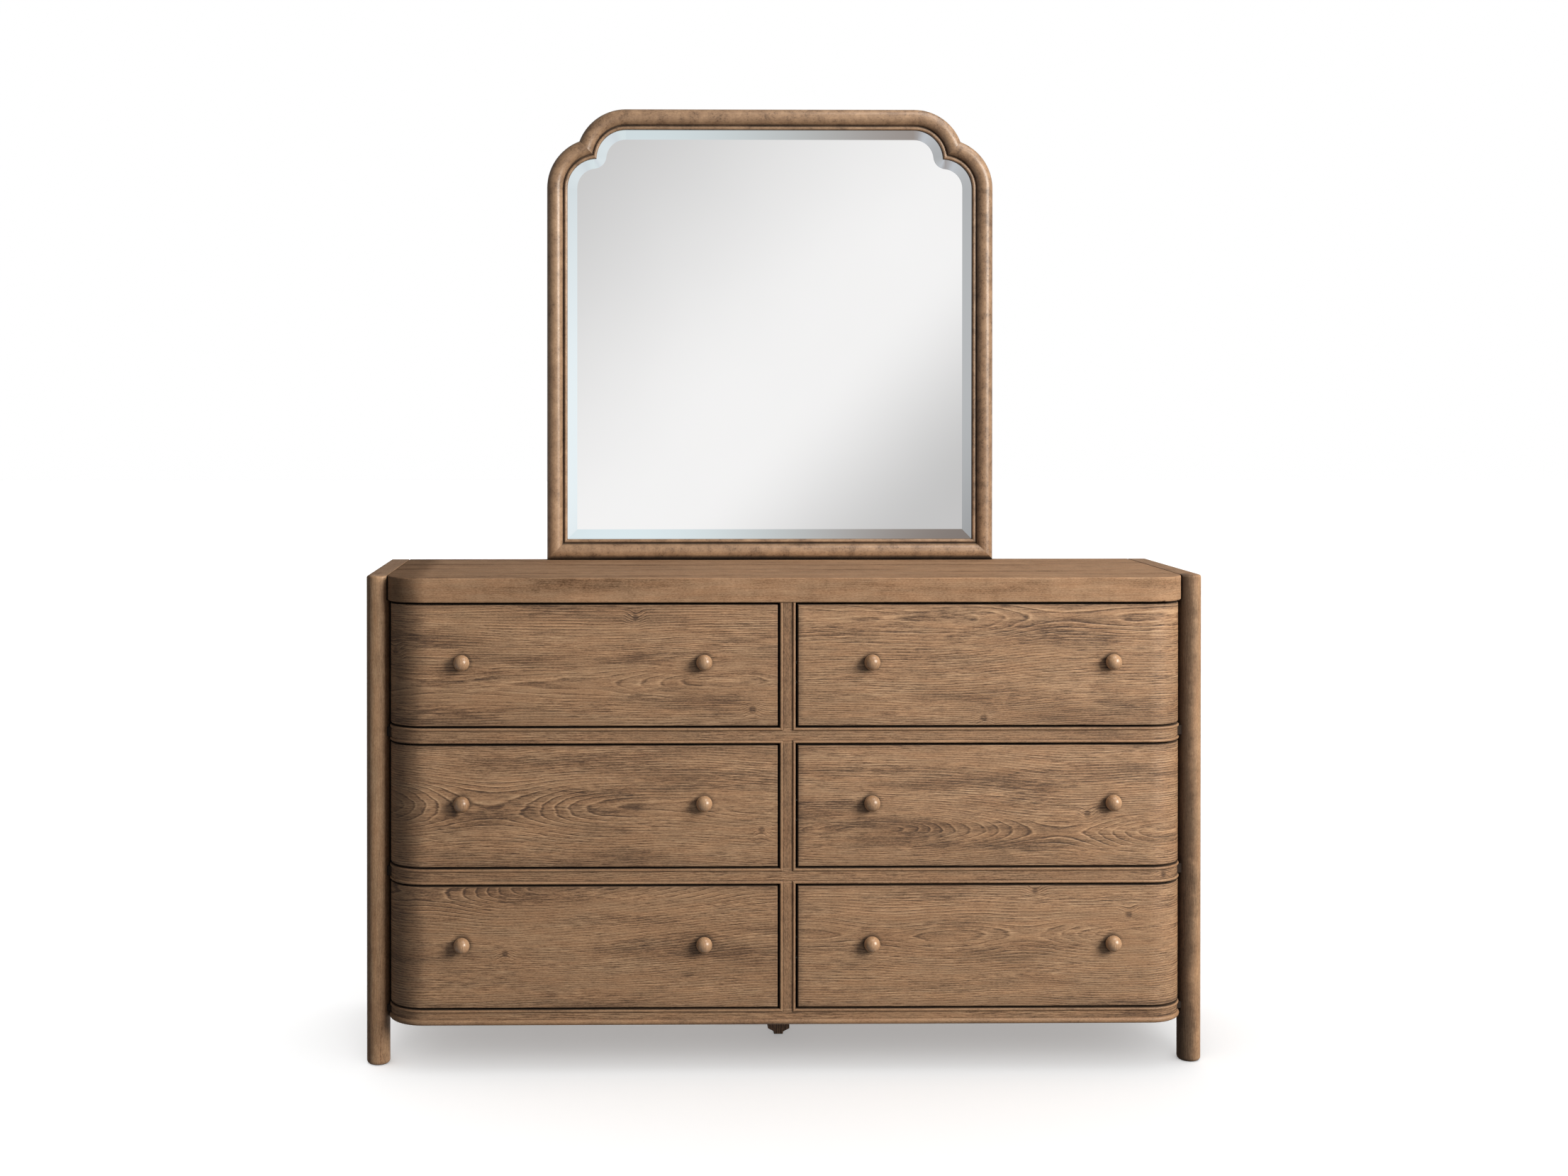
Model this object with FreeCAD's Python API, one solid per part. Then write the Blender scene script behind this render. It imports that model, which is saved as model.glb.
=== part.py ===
import FreeCAD, Part
import math
import os

# A bow-cornered pine dresser with six drawers and a framed, bevelled mirror.
# Millimetres. +X is the owner's right as they face the dresser, -Y is the front,
# +Z is up, and the floor is z = 0.

vector = FreeCAD.Vector

# ---- case, from the front ---------------------------------------------------
overall_width = 1678.0
body_depth = 471.0            # from the face of the drawers to the back edge of the top
case_bottom = 95.5            # floor to the underside of the bottom rail
rail_height = 31.0
drawer_height = 239.0
drawer_gap = 4.0              # over and under each drawer front
drawer_rows = 3
corner_radius = 72.0          # quarter round at each end of rails and drawer fronts
face_recess = 3.0             # the flats of rails and stile lie behind the drawer faces
rail_tenon_thickness = 14.0
rail_tenon_shoulder = 0.5     # from the beads to the tenon between them

# ---- posts ------------------------------------------------------------------
post_radius = 23.25
post_foot_rounding = 7.5
post_top_rounding = 4.5

# ---- top --------------------------------------------------------------------
top_thickness = 49.0
top_corner_radius = 78.0
top_edge_rounding = 3.0
end_top_rail_width = 41.0
joint_groove = 1.6            # depth and half width of the V groove beside the top board

# ---- ends, back, inside -----------------------------------------------------
end_rail_thickness = 25.0
end_rail_height = 58.0
end_rail_inset = 11.0         # behind the outermost line of the posts
end_panel_thickness = 12.0
panel_tongue = 8.0
stile_width = 31.0
stile_depth = 37.0
partition_thickness = 19.0
bottom_panel_thickness = 12.0
bottom_panel_rise = 4.0       # above the underside of the bottom rail
back_rail_thickness = 20.0
upper_back_rail_height = 90.0
lower_back_rail_height = 58.0
back_panel_thickness = 6.0
back_panel_inset = 8.0

# ---- bead strips ------------------------------------------------------------
bead_width = 6.0
bead_proud = 3.0
base_bead_width = 11.5
base_bead_proud = 4.2

# ---- centre foot ------------------------------------------------------------
foot_width = 45.0
foot_waist = 18.0
foot_shoulder_height = 16.5   # where the wide part starts to taper
foot_waist_height = 9.5
foot_depth = 46.0
foot_offset = 243.0           # from the faces of the drawers to the middle of the foot
foot_pad_height = 5.0

# ---- drawers ----------------------------------------------------------------
front_thickness = 20.0
front_edge_rounding = 2.2
side_gap = 4.5                # between a drawer front and the centre stile
post_gap = 2.0                # between a drawer front and the post
corner_block_width = 32.0     # solid wood behind the rounded end of a front
box_side_thickness = 12.0
box_height = 190.0
box_rise = 22.0               # underside of the box above the underside of its front
box_rear_clearance = 19.0     # from the back of the box to the back rails
box_bottom_thickness = 6.0
box_bottom_rise = 8.0
box_groove_depth = 5.0
dovetail_count = 5
dovetail_root_share = 0.25    # half a tail's narrow end, as a share of the spacing
dovetail_flare = 3.5

# ---- knobs and their screws -------------------------------------------------
knob_radius = 15.75
knob_projection = 28.0
knob_neck_radius = 8.0
knob_neck_length = 3.5
knob_spacing = 477.0
knob_rise = 7.0               # above the middle of the drawer front
knob_end_distance = 145.5     # from the centre stile's end of the front
screw_radius = 2.2
screw_head_radius = 5.0
screw_head_height = 2.6
screw_reach = 15.0            # into the knob
screw_clearance = 0.2

# ---- drawer slides ----------------------------------------------------------
slide_width = 12.7
slide_height = 45.0
slide_rear_clearance = 17.0   # from the back of a slide to the back rails
slide_sheet = 1.2
slide_running_gap = 0.5
slide_set_back = 84.0         # from the faces of the drawers
slide_centre_rise = 72.0      # above the underside of the box
outer_lip = 10.0
middle_start = 2.2
middle_lip = 10.0
inner_start = 4.6
slide_rail_height = 46.0
slide_stile_gap = 0.8         # a slide clears the centre stile by this much

# ---- mirror -----------------------------------------------------------------
mirror_width = 986.0
mirror_height = 995.0
frame_thickness = 27.0
crown_width = 35.5            # the large half round
crown_seat = 11.0             # from the back to the spring of the half round
frame_groove = 1.0
lip_width = 8.5
rebate_width = 7.0
corner_arc_radius = 110.0
corner_far_centre = 174.0     # the other ordinate of each corner arc's centre
corner_stub = 4.0             # straight length below the lower arc, down to the seam
backing_thickness = 3.0
glass_thickness = 5.0
glass_clearance = 0.5
bevel_width = 28.0
bevel_depth = 3.5

# ---- mirror supports --------------------------------------------------------
support_width = 66.0
support_thickness = 19.0
support_inset = 7.0           # from the outer edge of the mirror frame
support_reach = 560.0         # above the top
wood_screw_radius = 2.5
wood_screw_head_radius = 4.5
wood_screw_head_height = 3.0
wood_screw_bite = 12.0        # into the frame or the back rail
support_screw_inset = 20.0    # from the support's outer edge
upper_screw_heights = [60.0, 280.0, 500.0]
lower_screw_depths = [75.0, 115.0]

# ---- worked out from the above ----------------------------------------------
half_width = overall_width / 2
total_depth = knob_projection + body_depth + support_thickness
face_y = -total_depth / 2 + knob_projection
back_y = face_y + body_depth
post_x = half_width - post_radius
post_inner_x = post_x - post_radius
post_y = face_y + corner_radius
rear_post_y = back_y - post_radius
corner_x = post_inner_x - corner_radius

rail_pitch = rail_height + drawer_height + 2 * drawer_gap
first_drawer_z = case_bottom + rail_height + drawer_gap
top_board_z = first_drawer_z + (drawer_rows - 1) * rail_pitch + drawer_height + drawer_gap
case_height = top_board_z + top_thickness
rail_zs = [case_bottom + row * rail_pitch for row in range(drawer_rows)]
drawer_zs = [first_drawer_z + row * rail_pitch for row in range(drawer_rows)]

top_half_width = half_width - end_top_rail_width
end_rail_outer_x = half_width - end_rail_inset
end_rail_inner_x = end_rail_outer_x - end_rail_thickness
end_panel_x = (end_rail_inner_x + end_rail_outer_x - end_panel_thickness) / 2
bottom_panel_z = case_bottom + bottom_panel_rise
bottom_panel_top = bottom_panel_z + bottom_panel_thickness
stile_back_y = face_y + face_recess + stile_depth
back_rail_y = back_y - back_rail_thickness

front_x0 = stile_width / 2 + side_gap
front_x1 = post_inner_x - post_gap
box_x1 = front_x1 - corner_block_width
inner_wall_x = stile_width / 2 + slide_stile_gap
outer_wall_x = box_x1 + slide_width
box_x0 = inner_wall_x + slide_width
box_y0 = face_y + front_thickness
box_y1 = back_rail_y - box_rear_clearance
slide_y0 = face_y + slide_set_back
slide_y1 = back_rail_y - slide_rear_clearance

mirror_half = mirror_width / 2
mirror_top = case_height + mirror_height
moulding_width = crown_width + frame_groove + lip_width
glass_back = backing_thickness
glass_front = backing_thickness + glass_thickness


def box(x_range, y_range, z_range):
    low = vector(x_range[0], y_range[0], z_range[0])
    return Part.makeBox(x_range[1] - low.x, y_range[1] - low.y, z_range[1] - low.z, low)


def mirrored(shape):
    return shape.mirror(vector(0, 0, 0), vector(1, 0, 0))


def side_named(shape, side):
    return shape if side == "right" else mirrored(shape)


def both_halves(half):
    return half.fuse(mirrored(half)).removeSplitter()


def line(start, end):
    return Part.LineSegment(vector(*start), vector(*end)).toShape()


def arc(start, through, end):
    return Part.Arc(vector(*start), vector(*through), vector(*end)).toShape()


def face_of(edges):
    return Part.Face(Part.Wire(edges))


def prism(points, sweep):
    return Part.Face(Part.makePolygon([vector(*p) for p in points + points[:1]])).extrude(vector(*sweep))


def edges_where(shape, wanted):
    chosen = []
    for edge in shape.Edges:
        first, last = edge.ParameterRange
        if wanted(edge.valueAt((first + last) / 2)):
            chosen.append(edge)
    return chosen


def near(value, target, reach=0.01):
    return abs(value - target) < reach


def save(node, solids):
    shape = solids[0] if len(solids) == 1 else Part.makeCompound(solids)
    shape.exportStep("parts/" + node + ".step")


def half_slab(x0, x1, radius, front_y, back, z_range):
    """A slab from x0 to x1 whose outer front corner is a quarter round."""
    centre_x = x1 - radius
    centre_y = front_y + radius
    diagonal = radius * math.sqrt(0.5)
    z = z_range[0]
    edges = [
        line((x0, front_y, z), (centre_x, front_y, z)),
        arc((centre_x, front_y, z), (centre_x + diagonal, centre_y - diagonal, z), (x1, centre_y, z)),
    ]
    if back > centre_y + 0.01:
        edges.append(line((x1, centre_y, z), (x1, back, z)))
    edges.append(line((x1, back, z), (x0, back, z)))
    edges.append(line((x0, back, z), (x0, front_y, z)))
    return face_of(edges).extrude(vector(0, 0, z_range[1] - z))


# ---- posts and ends ---------------------------------------------------------
def make_front_post():
    post = Part.makeCylinder(post_radius, case_height, vector(post_x, post_y, 0))
    post = post.makeFillet(post_foot_rounding, edges_where(post, lambda p: near(p.z, 0)))
    post = post.makeFillet(post_top_rounding, edges_where(post, lambda p: near(p.z, case_height)))
    planed = box((post_inner_x - 1, top_half_width), (post_y - post_radius - 1, post_y + post_radius + 1),
                 (top_board_z, case_height + 1))
    return post.cut(planed)


def make_rear_post():
    round_part = Part.makeCylinder(post_radius, top_board_z, vector(post_x, rear_post_y, 0))
    round_part = round_part.makeFillet(post_foot_rounding, edges_where(round_part, lambda p: near(p.z, 0)))
    square_part = box((post_inner_x, post_x), (back_y - 2 * post_radius, back_y), (0, top_board_z))
    square_part = square_part.makeChamfer(post_foot_rounding / 2, edges_where(
        square_part, lambda p: near(p.z, 0) and not near(p.x, post_x)))
    return round_part.fuse(square_part).removeSplitter()


def make_end_top_rail(front_post):
    rail = box((top_half_width, half_width), (post_y, back_y), (top_board_z, case_height))
    rail = rail.makeFillet(post_top_rounding, edges_where(
        rail, lambda p: near(p.x, half_width) and near(p.z, case_height)))
    return rail.cut([front_post, make_joint_groove()])


def make_joint_groove():
    """The V groove between the top board and an end top rail."""
    middle = top_half_width
    outline = [(middle - joint_groove, post_y, case_height), (middle, post_y, case_height - joint_groove),
               (middle + joint_groove, post_y, case_height), (middle, post_y, case_height + joint_groove)]
    return prism(outline, (0, body_depth, 0))


def make_end_lower_rail(front_post, rear_post):
    rail = box((end_rail_inner_x, end_rail_outer_x), (post_y, rear_post_y),
               (case_bottom, case_bottom + end_rail_height))
    return rail.cut(front_post).cut(rear_post)


def make_end_panel():
    reach = post_radius - panel_tongue
    return box((end_panel_x, end_panel_x + end_panel_thickness), (post_y + reach, rear_post_y - reach),
               (case_bottom + end_rail_height - panel_tongue, top_board_z + panel_tongue))


# ---- front frame ------------------------------------------------------------
def make_front_rail(z):
    rail = both_halves(half_slab(0, post_inner_x - face_recess, corner_radius - face_recess,
                                 face_y + face_recess, post_y, (z, z + rail_height)))
    return rail.fuse([make_rail_tenon(z), mirrored(make_rail_tenon(z))]).removeSplitter()


def make_rail_tenon(z):
    lower_bead = base_bead_width if near(z, case_bottom) else bead_width
    return box((post_inner_x - corner_radius / 2, post_x), (post_y - rail_tenon_thickness, post_y),
               (z + lower_bead + rail_tenon_shoulder, z + rail_height - bead_width - rail_tenon_shoulder))


def make_centre_stile():
    pieces = []
    for row in range(drawer_rows):
        low = rail_zs[row] + rail_height
        high = rail_zs[row + 1] if row + 1 < drawer_rows else top_board_z
        pieces.append(box((-stile_width / 2, stile_width / 2), (face_y + face_recess, stile_back_y),
                          (low, high)))
    return pieces


def bead_face(x, y, z, across, width, proud):
    """The section of a bead at (x, y, z): `across` is its width's direction, and it stands out to -Y."""
    start = (x, y, z)
    middle = (x + across[0] * width / 2, y - proud, z + across[2] * width / 2)
    end = (x + across[0] * width, y, z + across[2] * width)
    return face_of([arc(start, middle, end), line(end, start)])


def make_rail_bead(z, width, proud, start_x):
    """A bead along one rail: straight over the flat, then round the corner to the post."""
    seat_y = face_y + face_recess
    straight = bead_face(start_x, seat_y, z, (0, 0, 1), width, proud).extrude(
        vector(corner_x - start_x, 0, 0))
    corner = bead_face(corner_x, seat_y, z, (0, 0, 1), width, proud).revolve(
        vector(corner_x, post_y, 0), vector(0, 0, 1), 90)
    return straight.fuse(corner).removeSplitter()


def make_stile_bead(z0, z1):
    seat_y = face_y + face_recess
    bead = bead_face(stile_width / 2 - bead_width, seat_y, z0, (1, 0, 0), bead_width, bead_proud)
    return bead.extrude(vector(0, 0, z1 - z0))


def make_opening_beads(z0, z1, closed_top):
    """The beads round one opening, which reaches from z0 to z1, mitred at the stile."""
    stile_x = stile_width / 2
    inner_x = stile_x - bead_width
    y = face_y
    depth = (0, face_recess + 1, 0)
    lower = make_rail_bead(z0 - bead_width, bead_width, bead_proud, inner_x)
    lower_mitre = prism([(inner_x, y, z0 - bead_width), (stile_x, y, z0), (inner_x, y, z0)], depth)
    side_low = z0 - bead_width
    side_high = z1 + bead_width if closed_top else z1
    side = make_stile_bead(side_low, side_high)
    side = side.cut(prism([(inner_x, y, side_low), (stile_x, y, side_low), (stile_x, y, z0)], depth))
    beads = [lower.cut(lower_mitre)]
    if closed_top:
        side = side.cut(prism([(inner_x, y, side_high), (stile_x, y, z1), (stile_x, y, side_high)], depth))
        upper = make_rail_bead(z1, bead_width, bead_proud, inner_x)
        beads.append(upper.cut(prism([(inner_x, y, z1), (stile_x, y, z1), (inner_x, y, side_high)], depth)))
    beads.append(side)
    return beads


def make_bead_strips(front_post):
    right = []
    for row in range(drawer_rows):
        top_row = row + 1 == drawer_rows
        ceiling = top_board_z if top_row else rail_zs[row + 1]
        right += make_opening_beads(rail_zs[row] + rail_height, ceiling, not top_row)
    base = both_halves(make_rail_bead(case_bottom, base_bead_width, base_bead_proud, 0).cut(front_post))
    return right + [mirrored(bead) for bead in right] + [base]


# ---- top, back and inside ---------------------------------------------------
def make_top_board():
    board = both_halves(half_slab(0, top_half_width, top_corner_radius, face_y, back_y,
                                  (top_board_z, case_height)))
    corner_end_y = face_y + top_corner_radius
    board = board.makeFillet(top_edge_rounding, edges_where(
        board, lambda p: p.y < corner_end_y - 1 and (near(p.z, case_height) or near(p.z, top_board_z))))
    return board.cut([make_joint_groove(), mirrored(make_joint_groove())])


def make_back_rails():
    span = (-post_inner_x, post_inner_x)
    upper = box(span, (back_rail_y, back_y), (top_board_z - upper_back_rail_height, top_board_z))
    lower = box(span, (back_rail_y, back_y), (case_bottom, case_bottom + lower_back_rail_height))
    return upper, lower


def make_back_panel():
    side_x = post_inner_x + panel_tongue
    y0 = back_y - back_panel_inset - back_panel_thickness
    return box((-side_x, side_x), (y0, y0 + back_panel_thickness),
               (case_bottom + lower_back_rail_height - panel_tongue,
                top_board_z - upper_back_rail_height + panel_tongue))


def make_centre_foot():
    y0 = face_y + foot_offset - foot_depth / 2
    wide = foot_width / 2
    waist = foot_waist / 2
    outline = [(-waist, y0, foot_pad_height), (waist, y0, foot_pad_height), (waist, y0, foot_waist_height),
               (wide, y0, foot_shoulder_height), (wide, y0, bottom_panel_z), (-wide, y0, bottom_panel_z),
               (-wide, y0, foot_shoulder_height), (-waist, y0, foot_waist_height)]
    return prism(outline, (0, foot_depth, 0))


def make_foot_pad():
    middle_y = face_y + foot_offset
    return box((-foot_waist / 2, foot_waist / 2), (middle_y - foot_waist / 2, middle_y + foot_waist / 2),
               (0, foot_pad_height))


# ---- drawers: everything below is one drawer of the right-hand column --------
def make_drawer_front(z):
    centre_x = front_x1 - corner_radius
    diagonal = corner_radius * math.sqrt(0.5)
    inner_y = face_y + front_thickness
    edges = [
        line((front_x0, face_y, z), (centre_x, face_y, z)),
        arc((centre_x, face_y, z), (centre_x + diagonal, post_y - diagonal, z), (front_x1, post_y, z)),
        line((front_x1, post_y, z), (box_x1, post_y, z)),
        line((box_x1, post_y, z), (box_x1, inner_y, z)),
        line((box_x1, inner_y, z), (front_x0, inner_y, z)),
        line((front_x0, inner_y, z), (front_x0, face_y, z)),
    ]
    front = face_of(edges).extrude(vector(0, 0, drawer_height))

    def on_show_face(p):
        flat = near(p.y, face_y) and p.x < centre_x
        curved = near(math.hypot(p.x - centre_x, p.y - post_y), corner_radius) and p.x > centre_x
        return (flat or curved) and (near(p.z, z) or near(p.z, z + drawer_height) or near(p.x, front_x0))

    return front.makeFillet(front_edge_rounding, edges_where(front, on_show_face))


def make_dovetails(x0, y0, z, inward):
    """Tails of one side board, seen from the side: they widen towards the end at y0."""
    step = box_height / dovetail_count
    base_y = y0 + inward * box_side_thickness
    tails = []
    for index in range(dovetail_count):
        middle = z + (index + 0.5) * step
        root = step * dovetail_root_share
        tip = root + dovetail_flare
        outline = [(x0, y0, middle - tip), (x0, y0, middle + tip), (x0, base_y, middle + root),
                   (x0, base_y, middle - root)]
        tails.append(prism(outline, (box_side_thickness, 0, 0)))
    return tails


def make_drawer_box(z):
    low = z + box_rise
    high = low + box_height
    span = (box_x0, box_x1)
    inner = (box_x0 + box_side_thickness, box_x1 - box_side_thickness)
    front_board = box(span, (box_y0, box_y0 + box_side_thickness), (low, high))
    back_board = box(span, (box_y1 - box_side_thickness, box_y1), (low, high))
    sides = []
    for x0 in (box_x0, inner[1]):
        tails = make_dovetails(x0, box_y0, low, 1) + make_dovetails(x0, box_y1, low, -1)
        length = box((x0, x0 + box_side_thickness),
                     (box_y0 + box_side_thickness, box_y1 - box_side_thickness), (low, high))
        sides.append(length.fuse(tails).removeSplitter())
        front_board = front_board.cut(tails)
        back_board = back_board.cut(tails)
    grooved = (inner[0] - box_groove_depth, inner[1] + box_groove_depth)
    bottom = box(grooved, (box_y0 + box_side_thickness - box_groove_depth,
                           box_y1 - box_side_thickness + box_groove_depth),
                 (low + box_bottom_rise, low + box_bottom_rise + box_bottom_thickness))
    boards = [board.cut(bottom) for board in sides + [front_board, back_board]]
    return boards + [bottom]


def knob_centres(z):
    height = z + drawer_height / 2 + knob_rise
    first = front_x0 + knob_end_distance
    return [(first, height), (first + knob_spacing, height)]


def make_knob(x, z):
    """A turned knob: its profile is drawn at the origin, about Z, then laid along -Y."""
    def at(radius, out):
        return (radius, 0, out)

    diagonal = math.sqrt(0.5)
    knob_widest = knob_projection - knob_radius
    back_radius = knob_neck_radius + (knob_radius - knob_neck_radius) * diagonal
    back_out = knob_widest - (knob_widest - knob_neck_length) * diagonal
    edges = [
        line(at(0, 0), at(knob_neck_radius, 0)),
        line(at(knob_neck_radius, 0), at(knob_neck_radius, knob_neck_length)),
        arc(at(knob_neck_radius, knob_neck_length), at(back_radius, back_out), at(knob_radius, knob_widest)),
        arc(at(knob_radius, knob_widest), at(knob_radius * diagonal, knob_widest + knob_radius * diagonal),
            at(0, knob_projection)),
        line(at(0, knob_projection), at(0, 0)),
    ]
    knob = face_of(edges).revolve(vector(0, 0, 0), vector(0, 0, 1), 360)
    knob = knob.cut(Part.makeCylinder(screw_radius + screw_clearance, screw_reach))
    knob.rotate(vector(0, 0, 0), vector(1, 0, 0), 90)
    knob.translate(vector(x, face_y, z))
    return knob


def make_knob_screw(x, z):
    head_y = box_y0 + box_side_thickness
    shank = Part.makeCylinder(screw_radius, head_y + screw_reach - face_y,
                              vector(x, face_y - screw_reach, z), vector(0, 1, 0))
    head = Part.makeCylinder(screw_head_radius, screw_head_height, vector(x, head_y, z), vector(0, 1, 0))
    return shank.fuse(head).removeSplitter()


def make_knob_hole(x, z):
    length = front_thickness + box_side_thickness + 2
    return Part.makeCylinder(screw_radius + screw_clearance, length,
                             vector(x, face_y - 1, z), vector(0, 1, 0))


def make_channel(x_range, web_x, height, z, y_range):
    """A drawer-slide member: a folded channel whose web stands at web_x."""
    whole = box(x_range, y_range, (z - height / 2, z + height / 2))
    open_x = (x_range[0] - 1, web_x) if web_x > x_range[0] else (web_x + slide_sheet, x_range[1] + 1)
    inside = height / 2 - slide_sheet
    return whole.cut(box(open_x, (y_range[0] - 1, y_range[1] + 1), (z - inside, z + inside)))


def make_slide(wall_x, direction, z):
    """Outer, middle and inner members of one slide, measured from the wall that carries it."""
    y_range = (slide_y0, slide_y1)
    fold = 2 * (slide_sheet + slide_running_gap)
    outer = make_channel((0, outer_lip), 0, slide_height, z, y_range)
    middle = make_channel((middle_start, middle_lip), middle_start, slide_height - fold, z, y_range)
    inner = make_channel((inner_start, slide_width), slide_width - slide_sheet, slide_height - 2 * fold, z,
                         y_range)
    members = [outer, middle, inner]
    if direction < 0:
        members = [mirrored(member) for member in members]
    for member in members:
        member.translate(vector(wall_x, 0, 0))
    return members


def make_slide_rails(middle):
    """The timbers that carry a drawer's slides: one on the partition, one between the posts."""
    heights = (middle - slide_rail_height / 2, middle + slide_rail_height / 2)
    inner = box((partition_thickness / 2, inner_wall_x), (post_y, back_rail_y), heights)
    outer = box((outer_wall_x, end_panel_x), (post_y + post_radius, back_y - 2 * post_radius), heights)
    return [inner, outer]


# ---- mirror -----------------------------------------------------------------
def frame_point(corner, inward, across, out):
    return (corner[0] + inward[0] * across, back_y - out, corner[1] + inward[1] * across)


def moulding_face(corner, inward):
    """The frame's section, from the outer edge at `corner` (x, z) along `inward` (x, z)."""
    def at(across, out):
        return frame_point(corner, inward, across, out)

    lip_start = crown_width + frame_groove
    rebate_start = moulding_width - rebate_width
    lip_rise = lip_width / 2
    edges = [
        line(at(0, 0), at(0, crown_seat)),
        arc(at(0, crown_seat), at(crown_width / 2, frame_thickness), at(crown_width, crown_seat)),
        line(at(crown_width, crown_seat), at(lip_start, crown_seat)),
        arc(at(lip_start, crown_seat), at(lip_start + lip_rise, crown_seat + lip_rise),
            at(moulding_width, crown_seat)),
        line(at(moulding_width, crown_seat), at(moulding_width, glass_front)),
        line(at(moulding_width, glass_front), at(rebate_start, glass_front)),
        line(at(rebate_start, glass_front), at(rebate_start, 0)),
        line(at(rebate_start, 0), at(0, 0)),
    ]
    return face_of(edges)


def diagonal_prism(points):
    """A prism along Y that cuts the frame on a mitre: its outline is in (x, z)."""
    return prism([(x, back_y - frame_thickness - 1, z) for x, z in points], (0, frame_thickness + 2, 0))


def arc_centres():
    lower = (mirror_half - corner_arc_radius, mirror_top - corner_far_centre)
    upper = (mirror_half - corner_far_centre, mirror_top - corner_arc_radius)
    return lower, upper


def seam_z():
    return mirror_top - corner_far_centre - corner_stub


def make_mirror_stile():
    stile = moulding_face((mirror_half, case_height), (-1, 0)).extrude(vector(0, 0, seam_z() - case_height))
    past = moulding_width + 1
    below = [(mirror_half, case_height), (mirror_half, case_height - 1),
             (mirror_half - past, case_height - 1), (mirror_half - past, case_height + past)]
    return stile.cut(diagonal_prism(below))


def make_mirror_bottom_rail():
    half = moulding_face((0, case_height), (0, 1)).extrude(vector(mirror_half, 0, 0))
    past = moulding_width + 1
    above = [(mirror_half, case_height), (mirror_half + 1, case_height),
             (mirror_half + 1, case_height + past), (mirror_half - past, case_height + past)]
    return both_halves(half.cut(diagonal_prism(above)))


def make_mirror_top_rail():
    half = moulding_face((0, mirror_top), (0, -1)).extrude(vector(arc_centres()[1][0], 0, 0))
    return both_halves(half)


def make_mirror_corner():
    lower, upper = arc_centres()
    axis = vector(0, -1, 0)
    sweeps = []
    for centre in (lower, upper):
        start = moulding_face((centre[0] + corner_arc_radius, centre[1]), (-1, 0))
        sweeps.append(start.revolve(vector(centre[0], 0, centre[1]), axis, 90))
    reach = 2 * corner_far_centre
    mitre_end = (mirror_half - reach, mirror_top - reach)
    over = [(mirror_half, mirror_top), mitre_end, (mirror_half - reach, mirror_top)]
    under = [(mirror_half, mirror_top), mitre_end, (mirror_half, mirror_top - reach)]
    stub = moulding_face((mirror_half, seam_z()), (-1, 0)).extrude(vector(0, 0, corner_stub))
    lower_arc = sweeps[0].cut(diagonal_prism(over))
    upper_arc = sweeps[1].cut(diagonal_prism(under))
    return lower_arc.fuse([upper_arc, stub]).removeSplitter()


def notch_inset(radius):
    """How far the point where two corner arcs of this radius meet lies from both outer sides."""
    total = corner_arc_radius + corner_far_centre
    squares = corner_arc_radius ** 2 + corner_far_centre ** 2 - radius ** 2
    return (total - math.sqrt(total ** 2 - 2 * squares)) / 2


def on_arc(centre, radius, angle):
    return centre[0] + radius * math.cos(angle), centre[1] + radius * math.sin(angle)


def make_pane(edge, out_range):
    """The stepped outline, `edge` inside the frame's outer edge, between two distances from the back."""
    lower, upper = arc_centres()
    radius = corner_arc_radius - edge
    inset = notch_inset(radius)
    notch = (mirror_half - inset, mirror_top - inset)
    notch_angle = math.atan2(notch[1] - lower[1], notch[0] - lower[0])

    def at(x, z):
        return (x, back_y - out_range[0], z)

    edges = [
        line(at(0, case_height + edge), at(mirror_half - edge, case_height + edge)),
        line(at(mirror_half - edge, case_height + edge), at(mirror_half - edge, lower[1])),
        arc(at(mirror_half - edge, lower[1]), at(*on_arc(lower, radius, notch_angle / 2)), at(*notch)),
        arc(at(*notch), at(*on_arc(upper, radius, (math.pi - notch_angle) / 2)),
            at(upper[0], mirror_top - edge)),
        line(at(upper[0], mirror_top - edge), at(0, mirror_top - edge)),
        line(at(0, mirror_top - edge), at(0, case_height + edge)),
    ]
    return both_halves(face_of(edges).extrude(vector(0, out_range[0] - out_range[1], 0)))


def bevel_face(corner, inward):
    """What the bevel takes off the glass, in section, from the glass edge at `corner`."""
    slope = bevel_depth / bevel_width

    def at(across, out):
        return frame_point(corner, inward, across, out)

    points = [at(-1, glass_front + 1), at(-1, glass_front - bevel_depth - slope),
              at(bevel_width, glass_front), at(bevel_width, glass_front + 1)]
    return Part.Face(Part.makePolygon([vector(*p) for p in points + points[:1]]))


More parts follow.
